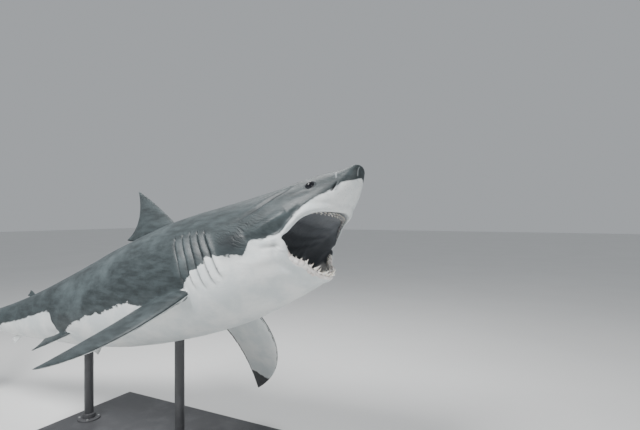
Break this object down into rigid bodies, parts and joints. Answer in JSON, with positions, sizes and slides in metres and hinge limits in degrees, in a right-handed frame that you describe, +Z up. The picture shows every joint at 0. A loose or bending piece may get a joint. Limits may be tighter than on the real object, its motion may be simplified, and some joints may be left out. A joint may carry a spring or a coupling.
{
  "type": "great white shark model",
  "caption": "Life-size great white shark lunging upward with its mouth wide open, tail swept aside, held over a flat base by upright rods.",
  "frame": {"origin": "centre of the base's underside", "axes": "+X is the trunk's heading over the ground, +Y is the shark's left, +Z is up"},
  "size_m": [3.799, 1.3772, 1.7007],
  "materials": {
    "shark_skin": "fine matt denticles, slate grey above a ragged line and white below",
    "teeth": "smooth enamel",
    "eye": "wet gloss, nearly black",
    "stand_paint": "satin dark grey paint"
  },
  "bodies": {
    "root": {"head": "shark_skin", "lower_jaw": "shark_skin", "gill_region": "shark_skin", "trunk_front": "shark_skin", "trunk_rear": "shark_skin", "tail_stock": "shark_skin", "dorsal_fin_first": "shark_skin", "dorsal_fin_second": "shark_skin", "anal_fin": "shark_skin", "caudal_fin_upper": "shark_skin", "caudal_fin_lower": "shark_skin", "pectoral_fin_left": "shark_skin", "pectoral_fin_right": "shark_skin", "pelvic_fin_left": "shark_skin", "pelvic_fin_right": "shark_skin", "teeth_upper": "teeth", "teeth_lower": "teeth", "eye_left": "eye", "eye_right": "eye", "stand_base": "stand_paint", "stand_rod_front": "stand_paint", "stand_rod_rear": "stand_paint"}
  },
  "joints": []
}
